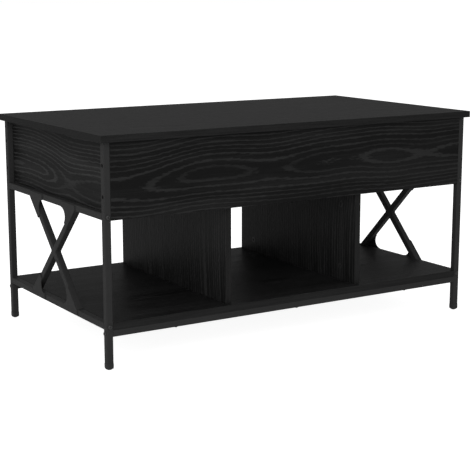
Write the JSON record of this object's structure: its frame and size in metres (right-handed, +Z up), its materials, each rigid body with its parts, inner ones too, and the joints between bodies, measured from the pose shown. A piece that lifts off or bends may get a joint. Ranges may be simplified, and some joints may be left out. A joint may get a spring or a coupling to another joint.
{
  "type": "lift top coffee table",
  "caption": "Coffee table with a top that lifts up and forward over a storage box, a divided lower shelf and a steel frame with crossed side braces.",
  "frame": {"origin": "on the floor under the middle of the table top", "axes": "+X along the width, to the right as seen from the front; -Y is the front, towards which the top moves as it lifts; +Z up"},
  "size_m": [1, 0.55, 0.5],
  "materials": {
    "black_oak_board": "black faced board with a fine raised oak grain, satin",
    "powder_coat": "matt black powder coat with a fine texture",
    "black_plastic": "moulded, matt",
    "black_rubber": "soft, matt",
    "black_fastener": "black plated, satin",
    "cam_zinc": "dark cast zinc",
    "zinc_steel": "zinc plated",
    "mechanism_steel": "black painted pressed steel, satin",
    "spring_steel": "oiled drawn wire",
    "beech_dowel": "plain beech"
  },
  "bodies": {
    "frame": {"back_left_foot": "black_plastic", "back_left_leg": "powder_coat", "back_panel": "black_oak_board", "back_right_foot": "black_plastic", "back_right_leg": "powder_coat", "back_shelf_rail": "powder_coat", "base_bracket_screws": "zinc_steel", "base_washers": "zinc_steel", "box_floor": "black_oak_board", "cam_bolts": "zinc_steel", "cam_locks": "cam_zinc", "frame_bolts": "black_fastener", "front_left_foot": "black_plastic", "front_left_leg": "powder_coat", "front_panel": "black_oak_board", "front_right_foot": "black_plastic", "front_right_leg": "powder_coat", "front_shelf_rail": "powder_coat", "left_base_bracket": "mechanism_steel", "left_base_pins": "zinc_steel", "left_brace_bar": "powder_coat", "left_brace_halves": "powder_coat", "left_divider": "black_oak_board", "left_gusset_plates": "powder_coat", "left_lift_spring": "spring_steel", "left_lower_rail": "powder_coat", "left_side_panel": "black_oak_board", "left_upper_rail": "powder_coat", "leg_plugs": "black_plastic", "leg_screws": "black_fastener", "lid_bumpers": "black_rubber", "rail_end_nuts": "zinc_steel", "right_base_bracket": "mechanism_steel", "right_base_pins": "zinc_steel", "right_brace_bar": "powder_coat", "right_brace_halves": "powder_coat", "right_divider": "black_oak_board", "right_gusset_plates": "powder_coat", "right_lift_spring": "spring_steel", "right_lower_rail": "powder_coat", "right_side_panel": "black_oak_board", "right_upper_rail": "powder_coat", "shelf_board": "black_oak_board", "shelf_screws": "black_fastener", "stop_sleeves": "black_rubber", "wood_dowels": "beech_dowel"},
    "left_rear_arm": {"left_rear_arm": "mechanism_steel", "left_spring_pin": "zinc_steel"},
    "right_rear_arm": {"right_rear_arm": "mechanism_steel", "right_spring_pin": "zinc_steel"},
    "left_front_arm": {"left_front_arm": "mechanism_steel"},
    "right_front_arm": {"right_front_arm": "mechanism_steel"},
    "top": {"table_top": "black_oak_board", "left_top_bracket": "mechanism_steel", "right_top_bracket": "mechanism_steel", "left_top_pins": "zinc_steel", "right_top_pins": "zinc_steel", "top_washers": "zinc_steel", "top_bracket_screws": "zinc_steel"}
  },
  "joints": [
    {"name": "top_lift", "type": "hinge", "parent": "frame", "child": "left_rear_arm", "pos_m": [-0.4485, -0.035, 0.361], "axis": [1, 0, 0], "range_deg": [0, 98], "stiffness_Nm_per_rad": 2.8, "springref_deg": 161.57, "deforming": ["left_lift_spring", "right_lift_spring"]},
    {"name": "top_level", "type": "hinge", "parent": "left_rear_arm", "child": "top", "pos_m": [-0.4485, 0.21932, 0.41506], "axis": [1, 0, 0], "range_deg": [-98, 0]},
    {"name": "right_rear_swing", "type": "hinge", "parent": "frame", "child": "right_rear_arm", "pos_m": [0.4485, -0.035, 0.361], "axis": [1, 0, 0], "range_deg": [0, 98]},
    {"name": "left_front_swing", "type": "hinge", "parent": "frame", "child": "left_front_arm", "pos_m": [-0.4545, -0.07873, 0.38524], "axis": [1, 0, 0], "range_deg": [0, 98]},
    {"name": "right_front_swing", "type": "hinge", "parent": "frame", "child": "right_front_arm", "pos_m": [0.4545, -0.07873, 0.38524], "axis": [1, 0, 0], "range_deg": [0, 98]}
  ],
  "couplings": [
    {"joint": "top_level", "follows": "top_lift", "ratio": -1},
    {"joint": "right_rear_swing", "follows": "top_lift", "ratio": 1},
    {"joint": "left_front_swing", "follows": "top_lift", "ratio": 1},
    {"joint": "right_front_swing", "follows": "top_lift", "ratio": 1}
  ]
}
